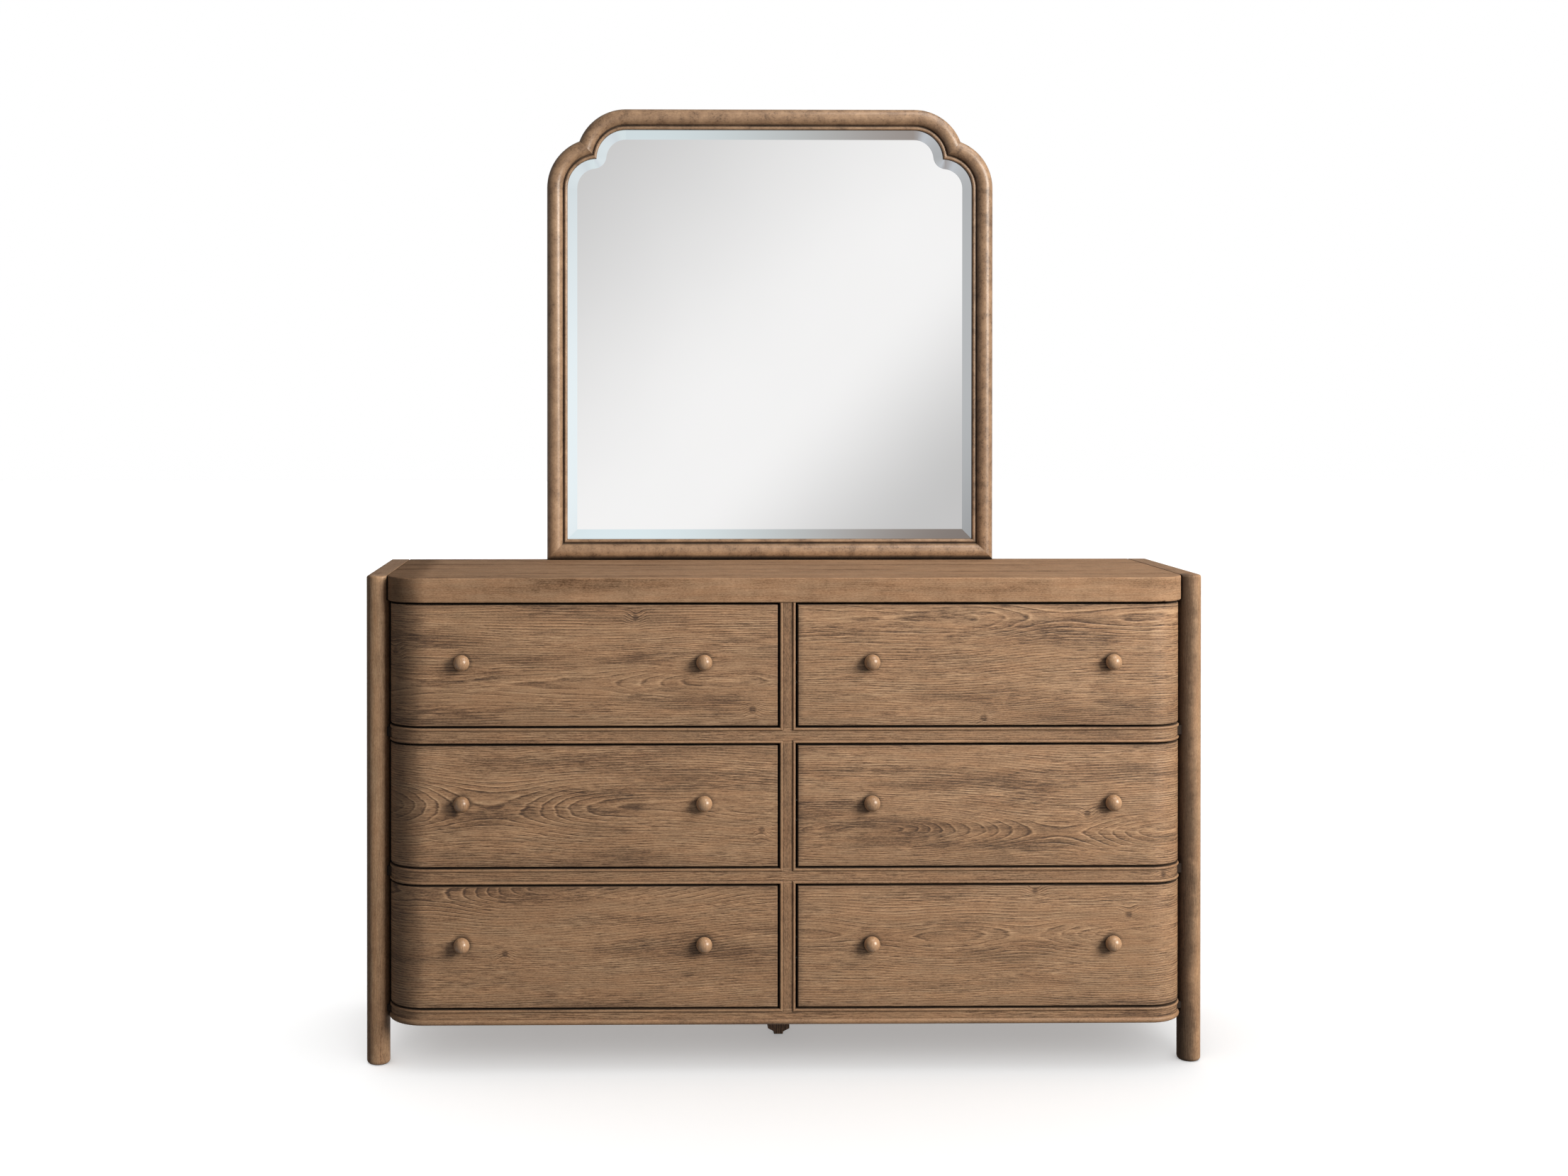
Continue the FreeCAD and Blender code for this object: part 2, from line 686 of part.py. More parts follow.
def make_mirror_glass():
    edge = moulding_width - rebate_width + glass_clearance
    glass = make_pane(edge, (glass_back, glass_front))
    lower, upper = arc_centres()
    radius = corner_arc_radius - edge
    inset = notch_inset(radius)
    notch = (mirror_half - inset, mirror_top - inset)
    sweep_angle = math.degrees(math.atan2(notch[1] - lower[1], notch[0] - lower[0]))
    axis = vector(0, -1, 0)
    side = bevel_face((mirror_half - edge, case_height), (-1, 0)).extrude(
        vector(0, 0, lower[1] - case_height))
    low = bevel_face((-mirror_half, case_height + edge), (0, 1)).extrude(vector(mirror_width, 0, 0))
    high = bevel_face((-upper[0], mirror_top - edge), (0, -1)).extrude(vector(2 * upper[0], 0, 0))
    lower_arc = bevel_face((lower[0] + radius, lower[1]), (-1, 0)).revolve(
        vector(lower[0], 0, lower[1]), axis, sweep_angle)
    upper_arc = bevel_face((upper[0], upper[1] + radius), (0, -1)).revolve(
        vector(upper[0], 0, upper[1]), axis, -sweep_angle)
    slope = bevel_width / bevel_depth
    cone = Part.makeCone(0, bevel_width + slope, bevel_depth + 1,
                         vector(notch[0], back_y - glass_front + bevel_depth, notch[1]), axis)
    right = [side, lower_arc, upper_arc, cone]
    for cutter in right + [mirrored(cutter) for cutter in right] + [low, high]:
        glass = glass.cut(cutter)
    return glass


def make_support():
    outer = mirror_half - support_inset
    return box((outer - support_width, outer), (back_y, back_y + support_thickness),
               (top_board_z - upper_back_rail_height, case_height + support_reach))


def support_screw_places():
    x = mirror_half - support_inset - support_screw_inset
    heights = [case_height + height for height in upper_screw_heights]
    heights += [case_height - depth for depth in lower_screw_depths]
    return [(x, z) for z in heights]


def make_wood_screw(x, z, grow=0.0):
    tip_y = back_y - wood_screw_bite
    seat_y = back_y + support_thickness - wood_screw_head_height
    shank = Part.makeCylinder(wood_screw_radius + grow, seat_y - tip_y, vector(x, tip_y, z),
                              vector(0, 1, 0))
    head = Part.makeCylinder(wood_screw_head_radius + grow, wood_screw_head_height, vector(x, seat_y, z),
                             vector(0, 1, 0))
    return shank.fuse(head).removeSplitter()


# ---- putting it together ----------------------------------------------------
def save_case():
    front_post = make_front_post()
    rear_post = make_rear_post()
    end_panel = make_end_panel()
    end_top_rail = make_end_top_rail(front_post).cut(end_panel)
    end_lower_rail = make_end_lower_rail(front_post, rear_post).cut(end_panel)
    for z in rail_zs:
        front_post = front_post.cut(make_rail_tenon(z))
    back_panel = make_back_panel()
    upper_back_rail, lower_back_rail = make_back_rails()
    screw_holes = [make_wood_screw(x, z, screw_clearance) for x, z in support_screw_places()]
    screw_holes += [mirrored(hole) for hole in screw_holes]
    rear_post = rear_post.cut([end_panel, back_panel])
    front_post = front_post.cut(end_panel)

    rails = [make_front_rail(z) for z in rail_zs]
    partition = box((-partition_thickness / 2, partition_thickness / 2), (stile_back_y, back_rail_y),
                    (bottom_panel_top, top_board_z)).cut(rails)
    end_lower_rails = [end_lower_rail, mirrored(end_lower_rail)]
    bottom_panel = box((-end_rail_inner_x, end_rail_inner_x), (post_y, back_rail_y),
                       (bottom_panel_z, bottom_panel_top))
    bottom_panel = bottom_panel.cut([front_post, mirrored(front_post), rear_post, mirrored(rear_post)])

    for side in ("left", "right"):
        save("front_post_" + side, [side_named(front_post, side)])
        save("end_top_rail_" + side, [side_named(end_top_rail, side)])
    save("rear_posts", [mirrored(rear_post), rear_post])
    save("end_panels", [mirrored(end_panel), end_panel])
    save("end_lower_rails", end_lower_rails)
    save("top_board", [make_top_board()])
    for name, rail in zip(["rail_bottom", "rail_lower", "rail_upper"], rails):
        save(name, [rail])
    save("centre_stile", make_centre_stile())
    save("bead_strips", make_bead_strips(front_post))
    save("centre_partition", [partition])
    save("bottom_panel", [bottom_panel])
    save("back_panel", [back_panel])
    save("back_rails", [upper_back_rail.cut([back_panel] + screw_holes), lower_back_rail.cut(back_panel)])
    save("centre_foot", [make_centre_foot()])
    save("foot_pad", [make_foot_pad()])


def save_drawers():
    slide_rails = []
    outer_slides = []
    for row, row_name in enumerate(["bottom", "middle", "top"]):
        z = drawer_zs[row]
        slide_z = z + box_rise + slide_centre_rise
        slides = [make_slide(inner_wall_x, 1, slide_z), make_slide(outer_wall_x, -1, slide_z)]
        centres = knob_centres(z)
        holes = [make_knob_hole(x, height) for x, height in centres]
        front = make_drawer_front(z).cut(holes)
        boards = [board.cut(holes) for board in make_drawer_box(z)]
        knobs = [make_knob(x, height) for x, height in centres]
        steel = [slide[2] for slide in slides] + [make_knob_screw(x, height) for x, height in centres]
        middles = [slide[1] for slide in slides]
        for side in ("left", "right"):
            name = "drawer_" + side + "_" + row_name
            save(name + "_front", [side_named(front, side)])
            save(name + "_box", [side_named(board, side) for board in boards])
            save(name + "_knobs", [side_named(knob, side) for knob in knobs])
            save(name + "_runners_and_screws", [side_named(piece, side) for piece in steel])
            save(name + "_middle_slides", [side_named(middle, side) for middle in middles])
            slide_rails += [side_named(rail, side) for rail in make_slide_rails(slide_z)]
            outer_slides += [side_named(slide[0], side) for slide in slides]
    save("slide_mounting_rails", slide_rails)
    save("outer_slides", outer_slides)


def save_mirror():
    places = support_screw_places()
    holes = [make_wood_screw(x, z, screw_clearance) for x, z in places]
    stile = make_mirror_stile().cut(holes)
    corner = make_mirror_corner().cut(holes)
    support = make_support().cut(holes)
    screws = [make_wood_screw(x, z) for x, z in places]
    for side in ("left", "right"):
        save("mirror_stile_" + side, [side_named(stile, side)])
    save("mirror_corners", [mirrored(corner), corner])
    save("mirror_top_rail", [make_mirror_top_rail()])
    save("mirror_bottom_rail", [make_mirror_bottom_rail()])
    save("mirror_glass", [make_mirror_glass()])
    backing_edge = moulding_width - rebate_width + glass_clearance
    save("mirror_backing", [make_pane(backing_edge, (0, backing_thickness))])
    save("mirror_supports", [mirrored(support), support])
    save("support_screws", [mirrored(screw) for screw in screws] + screws)


os.makedirs("parts", exist_ok=True)
save_case()
save_drawers()
save_mirror()
print("case", half_width * 2, "x", body_depth, "x", case_height, "overall height", mirror_top)
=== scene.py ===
import bpy
import math
from mathutils import Matrix

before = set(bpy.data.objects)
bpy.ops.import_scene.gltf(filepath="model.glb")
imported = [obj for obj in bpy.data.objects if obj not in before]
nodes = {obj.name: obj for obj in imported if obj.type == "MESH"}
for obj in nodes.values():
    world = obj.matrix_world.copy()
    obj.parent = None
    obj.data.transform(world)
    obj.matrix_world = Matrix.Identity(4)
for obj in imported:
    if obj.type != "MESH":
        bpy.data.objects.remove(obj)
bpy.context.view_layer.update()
print("frame loaded,", len(nodes), "pieces")


# short forms for building shader trees
def newTree(name):
    material = bpy.data.materials.new(name)
    material.use_nodes = True
    material.node_tree.nodes.clear()
    return material, material.node_tree


def setInput(tree, socket, value):
    if isinstance(value, bpy.types.NodeSocket):
        tree.links.new(value, socket)
    else:
        socket.default_value = value


def add(tree, kind, inputs=None, **settings):
    node = tree.nodes.new("ShaderNode" + kind)
    for key, value in settings.items():
        setattr(node, key, value)
    for key, value in (inputs or {}).items():
        setInput(tree, node.inputs[key], value)
    return node


def finishWith(tree, kind, inputs):
    shader = add(tree, kind, inputs)
    tree.links.new(shader.outputs[0], add(tree, "OutputMaterial").inputs[0])


def calc(tree, operation, first, second=0.0, third=0.0, clamp=False):
    inputs = {0: first, 1: second, 2: third}
    return add(tree, "Math", inputs, operation=operation, use_clamp=clamp).outputs[0]


def centred(tree, value):
    return calc(tree, "SUBTRACT", value, 0.5)


def vectorCalc(tree, operation, first, second=(0.0, 0.0, 0.0)):
    return add(tree, "VectorMath", {0: first, 1: second}, operation=operation).outputs[0]


def separate(tree, vector):
    return add(tree, "SeparateXYZ", {0: vector}).outputs


def combine(tree, x, y, z):
    return add(tree, "CombineXYZ", {0: x, 1: y, 2: z}).outputs[0]


def chooseVector(tree, where, first, second):
    mix = add(tree, "Mix", data_type="VECTOR")
    setInput(tree, mix.inputs[0], where)
    setInput(tree, mix.inputs[4], first)
    setInput(tree, mix.inputs[5], second)
    return mix.outputs[1]


def blendColours(tree, factor, first, second, blend="MIX"):
    mix = add(tree, "Mix", data_type="RGBA", blend_type=blend)
    setInput(tree, mix.inputs[0], factor)
    setInput(tree, mix.inputs[6], first)
    setInput(tree, mix.inputs[7], second)
    return mix.outputs[2]


def rampOf(tree, value, low, high, toLow=0.0, toHigh=1.0):
    inputs = {"Value": value, "From Min": low, "From Max": high, "To Min": toLow, "To Max": toHigh}
    return add(tree, "MapRange", inputs, interpolation_type="SMOOTHSTEP").outputs[0]


def objectPlace(tree):
    return add(tree, "TexCoord").outputs["Object"]


def noise(tree, vector, stretch, detail=2.0, roughness=0.5, distortion=0.0):
    # stretch is how many features there are to a metre along each axis
    scaled = vectorCalc(tree, "MULTIPLY", vector, stretch)
    inputs = {"Vector": scaled, "Scale": 1.0, "Detail": detail, "Roughness": roughness,
              "Distortion": distortion}
    return add(tree, "TexNoise", inputs).outputs[0]


def bumpOf(tree, height, strength, depth):
    return add(tree, "Bump", {"Height": height, "Strength": strength, "Distance": depth}).outputs[0]


def grey(level):
    return (level, level, level, 1.0)


def solid(colour):
    return tuple(colour) + (1.0,)


def setStops(ramp, stops):
    elements = ramp.color_ramp.elements
    while len(elements) < len(stops):
        elements.new(0.5)
    for element, (place, colour) in zip(elements, stops):
        element.position = place
        element.color = colour


# the wood: one recipe, and each board changes some of these
timberDefaults = {
    # from the deepest streak to the palest line
    "palette": [(0.070, 0.037, 0.021), (0.170, 0.094, 0.050), (0.335, 0.194, 0.106),
                (0.455, 0.272, 0.152), (0.600, 0.380, 0.225)],
    "level": 0.545,           # where the plain wood lies on the palette
    "reddish": (1.07, 0.985, 0.93),
    "greyish": (0.95, 1.015, 1.07),
    "tinge": 0.4,             # how far the hue drifts between the two

    "grain": "xzy",           # the axes along the grain, across the face and into the board
    "depth": 1.0,             # how much the figure changes into the board
    "seed": (0.0, 0.0, 0.0),

    "ringPitch": 0.0045,      # metres from one growth ring to the next where they lie straight
    "heart": 1.5,             # height of the line that the ring tongues gather on
    "heartDrift": 0.07,       # metres that this line wanders up and down
    "slant": 0.7,             # how far the rings lean over as they go into the board
    "tongue": 2.5,            # how much longer than a circle a tongue is drawn out
    "wander": 7.0,            # how many rings the figure swells and shrinks by
    "ripple": 1.4,
    "lines": 0.92,            # strength of the growth lines

    "knots": 0.6,             # share of the places that have a knot
    "knotPlaces": 4.3,        # such places to a metre
    "knotEdge": 0.03,         # how uneven a knot is
    "knotBend": 1.8,          # how many rings it pushes aside
    "knotTone": 0.38,

    "streaks": 0.72,          # strength of the brushed pores
    "mottle": 0.42,
    "speckle": 0.75,
    "blotches": 0.30,
    "cloud": 0.0,             # mottling that runs on from piece to piece
    "speckTone": 0.16,

    # the dark colour of the glaze, also used for painted shade
    "glazeAndShade": (0.026, 0.016, 0.011),
    "glazeAndShadeReach": 0.012,      # metres from a joint or gap that the glaze and painted shade reach
    "glazeAndShadeAmount": 0.88,
    "glazeAndShadeRoughness": 0.5,    # how much duller the glaze and painted shade are than the wood
    "shades": [],             # darkening painted along one axis, mostly painted shade: axis, start, end, strength; X is from the middle
    "shadeWander": 1.1,       # how uneven the edge of a wide shade is
    "wideShade": 0.030,

    "relief": 0.30,
    "reliefDepth": 0.0022,
    "poreDepth": 0.5,
    "roughness": 0.52,
    "roughRange": 0.16,       # dark wood is this much rougher than pale wood
    "shine": 0.42,
}

# features to a metre along the grain, across the face and into the board, then detail and roughness
patterns = {
    "knotEdge": ((25.0, 40.0, 10.0), 2.0),
    "heartDrift": ((1.3, 0.0, 0.0), 1.0),
    "heartDip": ((1.7, 0.0, 0.0), 1.0, 0.3),
    "figure": ((1.6, 9.0, 2.0), 1.0, 0.4),
    "ripple": ((5.0, 40.0, 20.0), 3.0, 0.55),
    "lineFade": ((3.6, 62.0, 16.0), 3.0, 0.6),
    "pores": ((32.0, 560.0, 90.0), 3.0, 0.7),
    "poreFade": ((7.0, 34.0, 8.0), 2.0),
    "speckle": ((180.0, 560.0, 180.0), 2.0, 0.7),
    "mottle": ((3.4, 56.0, 16.0), 5.0, 0.65),
    "blotches": ((2.6, 19.0, 5.0), 4.0, 0.6, 0.3),
    "hue": ((11.0, 70.0, 20.0), 3.0, 0.6),
    "cloud": ((36.0, 36.0, 36.0), 6.0, 0.72),
    "specks": ((230.0, 230.0, 230.0), 2.0, 0.6),
    "wear": ((9.0, 22.0, 22.0), 2.0),
    "brush": ((20.0, 14.0, 14.0), 4.0, 0.65),
}

# a value between the first two is spread from the third to the fourth
fades = {
    "knotReach": (0.0, 0.12, 1.0, 0.0),
    "knotCore": (0.010, 0.038, 1.0, 0.0),
    "heartDip": (0.30, 0.70, 0.010, 0.150),       # metres from the heart to the face
    "nearHeart": (0.05, 0.16, 0.55, 1.0),
    "lineFade": (0.34, 0.60, 0.36, 1.0),
    "pores": (0.30, 0.70, 0.0, 1.0),
    "poreFade": (0.32, 0.66, 0.35, 1.0),
    "blotches": (0.46, 0.74, 0.0, 1.0),
    "hue": (0.32, 0.68, 0.0, 1.0),
    "specks": (0.52, 0.74, 0.0, 1.0),
    "wear": (0.30, 0.60, 0.75, 1.0),
    "joints": (0.45, 1.0, 1.0, 0.0),
}

# one growth ring, from its start to its end
ringProfile = [(0.0, 0.98), (0.10, 0.66), (0.22, 0.54), (0.66, 0.46), (0.77, 0.04), (0.85, 0.10),
               (0.96, 0.98), (1.0, 0.98)]

diagonal = math.sqrt(0.5)
levelFacing = 0.7             # a face lies level where the z of its normal is past this
sideFacing = 0.5              # and looks sideways where the x is past this


def pattern(tree, vector, name):
    return noise(tree, vector, *patterns[name])


def faded(tree, value, name):
    return rampOf(tree, value, *fades[name])


def grainVector(tree, spec):
    # x of the result runs along the grain, y across the show face, z into the board
    coordinates = add(tree, "TexCoord").outputs
    axes = separate(tree, coordinates["Object"])
    facing = separate(tree, coordinates["Normal"])
    x, y, z = axes[0], axes[1], axes[2]
    if spec["grain"] == "corner":
        # a corner piece runs at 45 degrees, down to its own side
        outward = calc(tree, "ABSOLUTE", x)
        along = calc(tree, "MULTIPLY", calc(tree, "SUBTRACT", z, outward), diagonal)
        across = calc(tree, "MULTIPLY", calc(tree, "ADD", z, outward), diagonal)
        vector = combine(tree, along, across, y)
    else:
        along, across, inward = [axes["xyz".index(letter)] for letter in spec["grain"]]
        vector = combine(tree, along, across, inward)

    # where a node's boards or edges run another way
    turns = []
    if "stileBeads" in spec:
        beside = calc(tree, "LESS_THAN", calc(tree, "ABSOLUTE", x), spec["stileBeads"])
        above = calc(tree, "GREATER_THAN", z, spec["stileFoot"])
        turns.append((calc(tree, "MULTIPLY", beside, above), combine(tree, z, x, y)))
    if spec.get("boxBoards"):
        sideways = calc(tree, "GREATER_THAN", calc(tree, "ABSOLUTE", facing[0]), sideFacing)
        turns.append((sideways, combine(tree, y, z, x)))
    if spec.get("uprightEdges"):
        upright = calc(tree, "LESS_THAN", calc(tree, "ABSOLUTE", facing[2]), levelFacing)
        turns.append((upright, combine(tree, x, z, 0.0)))
    if spec.get("levelEdges"):
        level = calc(tree, "GREATER_THAN", calc(tree, "ABSOLUTE", facing[2]), levelFacing)
        turns.append((level, combine(tree, x, y, 0.0)))
    for where, turned in turns:
        vector = chooseVector(tree, where, vector, turned)

    # with little depth, the lines of a bowed piece run on round its bend
    unseeded = vectorCalc(tree, "MULTIPLY", vector, (1.0, 1.0, spec["depth"]))
    seeded = vectorCalc(tree, "ADD", unseeded, spec["seed"])
    return unseeded, seeded, axes


def knotField(tree, vector, spec):
    # how far the rings bend round a knot, and the knot itself
    parts = separate(tree, vector)
    flat = combine(tree, parts[0], parts[1], 0.0)
    cells = add(tree, "TexVoronoi", {"Vector": flat, "Scale": spec["knotPlaces"], "Randomness": 1.0},
                voronoi_dimensions="2D", feature="F1").outputs
    wanted = calc(tree, "LESS_THAN", separate(tree, cells["Color"])[0], spec["knots"])
    edge = centred(tree, pattern(tree, vector, "knotEdge"))
    distance = calc(tree, "MULTIPLY_ADD", edge, spec["knotEdge"], cells["Distance"])
    bulge = calc(tree, "MULTIPLY", faded(tree, distance, "knotReach"), wanted)
    knot = calc(tree, "MULTIPLY", faded(tree, distance, "knotCore"), wanted)
    return bulge, knot


def growthLines(tree, unseeded, vector, bulge, spec):
    # the rings are cylinders round a heart line that dips and rises under the face
    parts = separate(tree, unseeded)
    across = calc(tree, "MULTIPLY_ADD", parts[2], spec["slant"], parts[1])
    offset = calc(tree, "SUBTRACT", across, spec["heart"])
    drift = centred(tree, pattern(tree, vector, "heartDrift"))
    offset = calc(tree, "MULTIPLY_ADD", drift, spec["heartDrift"], offset)
    offset = calc(tree, "MULTIPLY", offset, spec["tongue"])
    dip = faded(tree, pattern(tree, vector, "heartDip"), "heartDip")
    radius = calc(tree, "MULTIPLY_ADD", offset, offset, calc(tree, "MULTIPLY", dip, dip))
    radius = calc(tree, "SQRT", radius)
    rings = calc(tree, "DIVIDE", radius, spec["ringPitch"] * spec["tongue"])
    rings = calc(tree, "MULTIPLY_ADD", pattern(tree, vector, "figure"), spec["wander"], rings)
    rings = calc(tree, "MULTIPLY_ADD", pattern(tree, vector, "ripple"), spec["ripple"], rings)
    rings = calc(tree, "MULTIPLY_ADD", bulge, spec["knotBend"], rings)
    lines = add(tree, "ValToRGB", {0: calc(tree, "FRACT", rings)})
    setStops(lines, [(place, grey(level)) for place, level in ringProfile])
    fade = faded(tree, pattern(tree, vector, "lineFade"), "lineFade")
    fade = calc(tree, "MULTIPLY", fade, faded(tree, radius, "nearHeart"))
    return calc(tree, "MULTIPLY", centred(tree, lines.outputs[0]), fade)


def brushedPores(tree, vector):
    pores = centred(tree, faded(tree, pattern(tree, vector, "pores"), "pores"))
    return calc(tree, "MULTIPLY", pores, faded(tree, pattern(tree, vector, "poreFade"), "poreFade"))


def woodTone(tree, vector, lineTone, poreTone, knot, spec):
    # from 0, the deepest streak, to 1, the palest line
    tone = calc(tree, "MULTIPLY_ADD", lineTone, spec["lines"], spec["level"])
    layers = []
    if spec["cloud"]:
        place = objectPlace(tree)
        specks = faded(tree, pattern(tree, place, "specks"), "specks")
        layers.append((centred(tree, pattern(tree, place, "cloud")), spec["cloud"]))
        layers.append((specks, -spec["speckTone"] * spec["cloud"]))
    layers.append((centred(tree, pattern(tree, vector, "mottle")), spec["mottle"]))
    layers.append((centred(tree, pattern(tree, vector, "speckle")), spec["speckle"]))
    layers.append((poreTone, -spec["streaks"]))
    layers.append((faded(tree, pattern(tree, vector, "blotches"), "blotches"), -spec["blotches"]))
    for layer, strength in layers:
        tone = calc(tree, "MULTIPLY_ADD", layer, strength, tone)
    return calc(tree, "MULTIPLY_ADD", knot, -spec["knotTone"], tone, clamp=True)


def glazeAndShadeMask(tree, vector, axes, spec):
    # darkening where the occlusion is deep, in joints and gaps: glaze together with painted shade, worn
    # here and there; then the shades, painted shade along an axis
    joints = add(tree, "AmbientOcclusion", {"Distance": spec["glazeAndShadeReach"]}, samples=8).outputs["AO"]
    wear = faded(tree, pattern(tree, vector, "wear"), "wear")
    glazeAndShade = calc(tree, "MULTIPLY", faded(tree, joints, "joints"), wear)
    glazeAndShade = calc(tree, "MULTIPLY", glazeAndShade, spec["glazeAndShadeAmount"], clamp=True)
    brush = centred(tree, pattern(tree, vector, "brush"))
    # each shade darkens from its start to its end, painted shade, with a wandering edge where it is wide
    for axis, start, end, strength in spec["shades"]:
        place = calc(tree, "ABSOLUTE", axes[0]) if axis == "X" else axes["xyz".index(axis)]
        width = abs(end - start)
        if width > spec["wideShade"]:
            place = calc(tree, "MULTIPLY_ADD", brush, spec["shadeWander"] * width, place)
        shade = calc(tree, "MULTIPLY", rampOf(tree, place, start, end), strength)
        glazeAndShade = calc(tree, "MAXIMUM", glazeAndShade, shade)
    return glazeAndShade


def timber(name, **changes):
    spec = dict(timberDefaults, **changes)
    material, tree = newTree(name)
    unseeded, vector, axes = grainVector(tree, spec)
    bulge, knot = knotField(tree, vector, spec)
    lineTone = growthLines(tree, unseeded, vector, bulge, spec)
    poreTone = brushedPores(tree, vector)
    tone = woodTone(tree, vector, lineTone, poreTone, knot, spec)

    wood = add(tree, "ValToRGB", {0: tone})
    last = len(spec["palette"]) - 1
    setStops(wood, [(step / last, solid(stop)) for step, stop in enumerate(spec["palette"])])
    hue = faded(tree, pattern(tree, vector, "hue"), "hue")
    tinge = blendColours(tree, hue, solid(spec["reddish"]), solid(spec["greyish"]))
    colour = blendColours(tree, spec["tinge"], wood.outputs[0], tinge, "MULTIPLY")
    glazeAndShade = glazeAndShadeMask(tree, vector, axes, spec)
    # glaze and painted shade darken the wood towards this colour
    colour = blendColours(tree, glazeAndShade, colour, solid(spec["glazeAndShade"]))

    height = calc(tree, "MULTIPLY", lineTone, spec["lines"])
    height = calc(tree, "MULTIPLY_ADD", poreTone, -spec["poreDepth"] * spec["streaks"], height)
    rough = calc(tree, "MULTIPLY_ADD", tone, -spec["roughRange"],
                 spec["roughness"] + spec["roughRange"] / 2)
    rough = calc(tree, "MULTIPLY_ADD", glazeAndShade, spec["glazeAndShadeRoughness"], rough, clamp=True)
    finishWith(tree, "BsdfPrincipled", {
        "Base Color": colour, "Roughness": rough, "Specular IOR Level": spec["shine"],
        "Normal": bumpOf(tree, height, spec["relief"], spec["reliefDepth"])})
    return material


steelLook = {
    "tint": (0.62, 0.62, 0.60), "dull": (0.446, 0.446, 0.432), "dulled": (0.35, 0.70),
    "stains": ((14.0, 9.0, 14.0), 4.0), "brush": ((120.0, 4.0, 600.0), 3.0),
    "roughness": 0.34, "roughRange": 0.2, "relief": 0.2, "reliefDepth": 0.0002,
}


def steel(name):
    look = steelLook
    material, tree = newTree(name)
    place = objectPlace(tree)
    brushed = noise(tree, place, *look["brush"])
    stains = rampOf(tree, noise(tree, place, *look["stains"]), *look["dulled"])
    rough = calc(tree, "MULTIPLY_ADD", brushed, look["roughRange"],
                 look["roughness"] - look["roughRange"] / 2)
    finishWith(tree, "BsdfPrincipled", {
        "Base Color": blendColours(tree, stains, solid(look["tint"]), solid(look["dull"])),
        "Metallic": 1.0, "Roughness": rough,
        "Normal": bumpOf(tree, brushed, look["relief"], look["reliefDepth"])})
    return material


mirror = {
    "bending": 0.52,          # a bevel's normal leans this much of its slope, and to the other side
    "slope": 0.124,           # how far an upright bevel's own normal leans
    "flat": -0.998,           # y of the normal from which the glass counts as bevelled
    "crease": 0.03,           # where the smooth normal is off by this, the face's own is used
    # painted reflection on the bevels, from the one facing left to the one facing right
    "bevelReflections": [(0.86, 0.94, 0.97), (0.635, 0.685, 0.76), (0.50, 0.513, 0.524)],
    "bright": (1.33, 1.40, 1.31),      # painted reflection: the level bevels darken from one side to the other
    "dim": (0.50, 0.40, 0.33),
    "darkening": (-0.42, 0.42),
    "silver": [(0.955, 0.950, 0.948), (0.970, 0.965, 0.963)],
    "haze": ((3.0, 3.0, 3.0), 4.0),
    "hazed": (0.3, 0.7),
    "dull": (0.4, 0.8, 0.0, 0.01),
}


def silvered(name):
    # the silver is on the flat back, so a bevel bends the reflection towards the thick glass
    material, tree = newTree(name)
    place = objectPlace(tree)
    haze = noise(tree, place, *mirror["haze"])
    geometry = add(tree, "NewGeometry").outputs
    smooth, own = geometry["Normal"], geometry["True Normal"]
    apart = add(tree, "VectorMath", {0: smooth, 1: own}, operation="DISTANCE").outputs["Value"]
    normal = chooseVector(tree, calc(tree, "GREATER_THAN", apart, mirror["crease"]), smooth, own)
    facing = separate(tree, normal)
    bevel = calc(tree, "GREATER_THAN", facing[1], mirror["flat"])

    # painted reflection: each bevel's colour follows the way it faces, pale and blue to the left and
    # dark to the right, and the level ones darker towards the right
    side = rampOf(tree, facing[0], -mirror["slope"], mirror["slope"])
    tint = add(tree, "ValToRGB", {0: side})
    last = len(mirror["bevelReflections"]) - 1
    setStops(tint, [(step / last, solid(stop)) for step, stop in enumerate(mirror["bevelReflections"])])
    level = rampOf(tree, calc(tree, "ABSOLUTE", facing[0]), 0.0, mirror["slope"] / 2, 1.0, 0.0)
    darker = rampOf(tree, separate(tree, place)[0], *mirror["darkening"])
    room = blendColours(tree, darker, solid(mirror["bright"]), solid(mirror["dim"]))
    paintedBevelReflection = blendColours(tree, level, tint.outputs[0], room, "MULTIPLY")
    hazed = rampOf(tree, haze, *mirror["hazed"])
    silver = blendColours(tree, hazed, *[solid(colour) for colour in mirror["silver"]])

    bent = vectorCalc(tree, "MULTIPLY", normal, (-mirror["bending"],) * 3)
    bent = vectorCalc(tree, "ADD", bent, (0.0, -1.0 - mirror["bending"], 0.0))
    finishWith(tree, "BsdfPrincipled", {
        "Base Color": blendColours(tree, bevel, silver, paintedBevelReflection),
        "Metallic": 1.0, "Roughness": rampOf(tree, haze, *mirror["dull"]),
        "Normal": vectorCalc(tree, "NORMALIZE", bent)})
    return material


boardLook = {
    "light": (0.33, 0.22, 0.13), "dark": (0.20, 0.125, 0.07),
    "fibres": ((90.0, 90.0, 240.0), 5.0, 0.7), "fibreFade": (0.35, 0.65),
    "cloud": ((6.0, 6.0, 6.0), 3.0), "cloudFade": (0.4, 0.7, 0.0, 0.35),
    "roughness": 0.7, "relief": 0.35, "reliefDepth": 0.0005,
}


